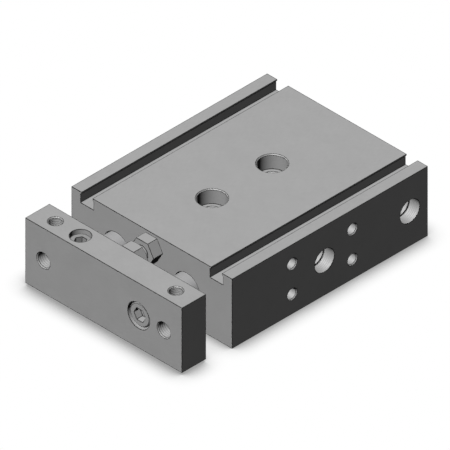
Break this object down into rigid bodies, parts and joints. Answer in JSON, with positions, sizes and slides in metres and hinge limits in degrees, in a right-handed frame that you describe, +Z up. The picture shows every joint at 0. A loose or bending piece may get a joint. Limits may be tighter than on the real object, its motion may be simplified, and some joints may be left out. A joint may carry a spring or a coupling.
{
  "type": "double piston cylinder",
  "caption": "Flat pneumatic cylinder: parallel pistons in one aluminium body push a front plate, with a stop bolt and grooves for position switches.",
  "frame": {"origin": "centre of the bottom of the whole cylinder, on the surface it rests on", "axes": "+X across the body towards the open ports, +Y from the plate to the rear, +Z up"},
  "size_m": [0.08, 0.1216, 0.03],
  "materials": {
    "body_aluminium": "grey anodised, satin",
    "plate_aluminium": "grey anodised, satin, milled",
    "bearing_alloy": "turned, fine satin",
    "rod_chrome": "ground and hard chromed",
    "zinc_steel": "zinc plated",
    "spring_steel": "phosphated, dark",
    "black_rubber": "matt",
    "urethane": "satin",
    "magnet_ferrite": "ground, dull",
    "bearing_plastic": "satin"
  },
  "bodies": {
    "body": {"housing": "body_aluminium", "port_plugs": "zinc_steel", "rod_cover_left": "bearing_alloy", "rod_cover_right": "bearing_alloy", "rod_cover_o_ring_left": "black_rubber", "rod_cover_o_ring_right": "black_rubber", "rod_cover_snap_ring_left": "spring_steel", "rod_cover_snap_ring_right": "spring_steel", "seal_retainer_left": "zinc_steel", "seal_retainer_right": "zinc_steel", "rod_seal_left": "black_rubber", "rod_seal_right": "black_rubber", "head_cover_left": "bearing_alloy", "head_cover_right": "bearing_alloy", "head_cover_o_ring_left": "black_rubber", "head_cover_o_ring_right": "black_rubber", "head_cover_snap_ring_left": "spring_steel", "head_cover_snap_ring_right": "spring_steel"},
    "slider": {"plate": "plate_aluminium", "rod_cap_screw": "zinc_steel", "rod_set_screw": "zinc_steel", "stop_nut": "zinc_steel", "piston_nuts": "zinc_steel", "piston_rod_left": "rod_chrome", "piston_rod_right": "rod_chrome", "piston_left": "bearing_alloy", "piston_right": "bearing_alloy", "piston_bumper_left": "urethane", "piston_bumper_right": "urethane", "magnet_left": "magnet_ferrite", "magnet_right": "magnet_ferrite", "piston_seal_left": "black_rubber", "piston_seal_right": "black_rubber", "wear_ring_left": "bearing_plastic", "wear_ring_right": "bearing_plastic"},
    "stop_screw": {"stop_bolt": "zinc_steel", "stop_pad": "urethane"}
  },
  "joints": [
    {"name": "rod_stroke", "type": "slide", "parent": "body", "child": "slider", "axis": [0, -1, 0], "range_m": [0, 0.025]},
    {"name": "stop_bolt_advance", "type": "slide", "parent": "slider", "child": "stop_screw", "axis": [0, -1, 0], "range_m": [0, 0.002]}
  ]
}
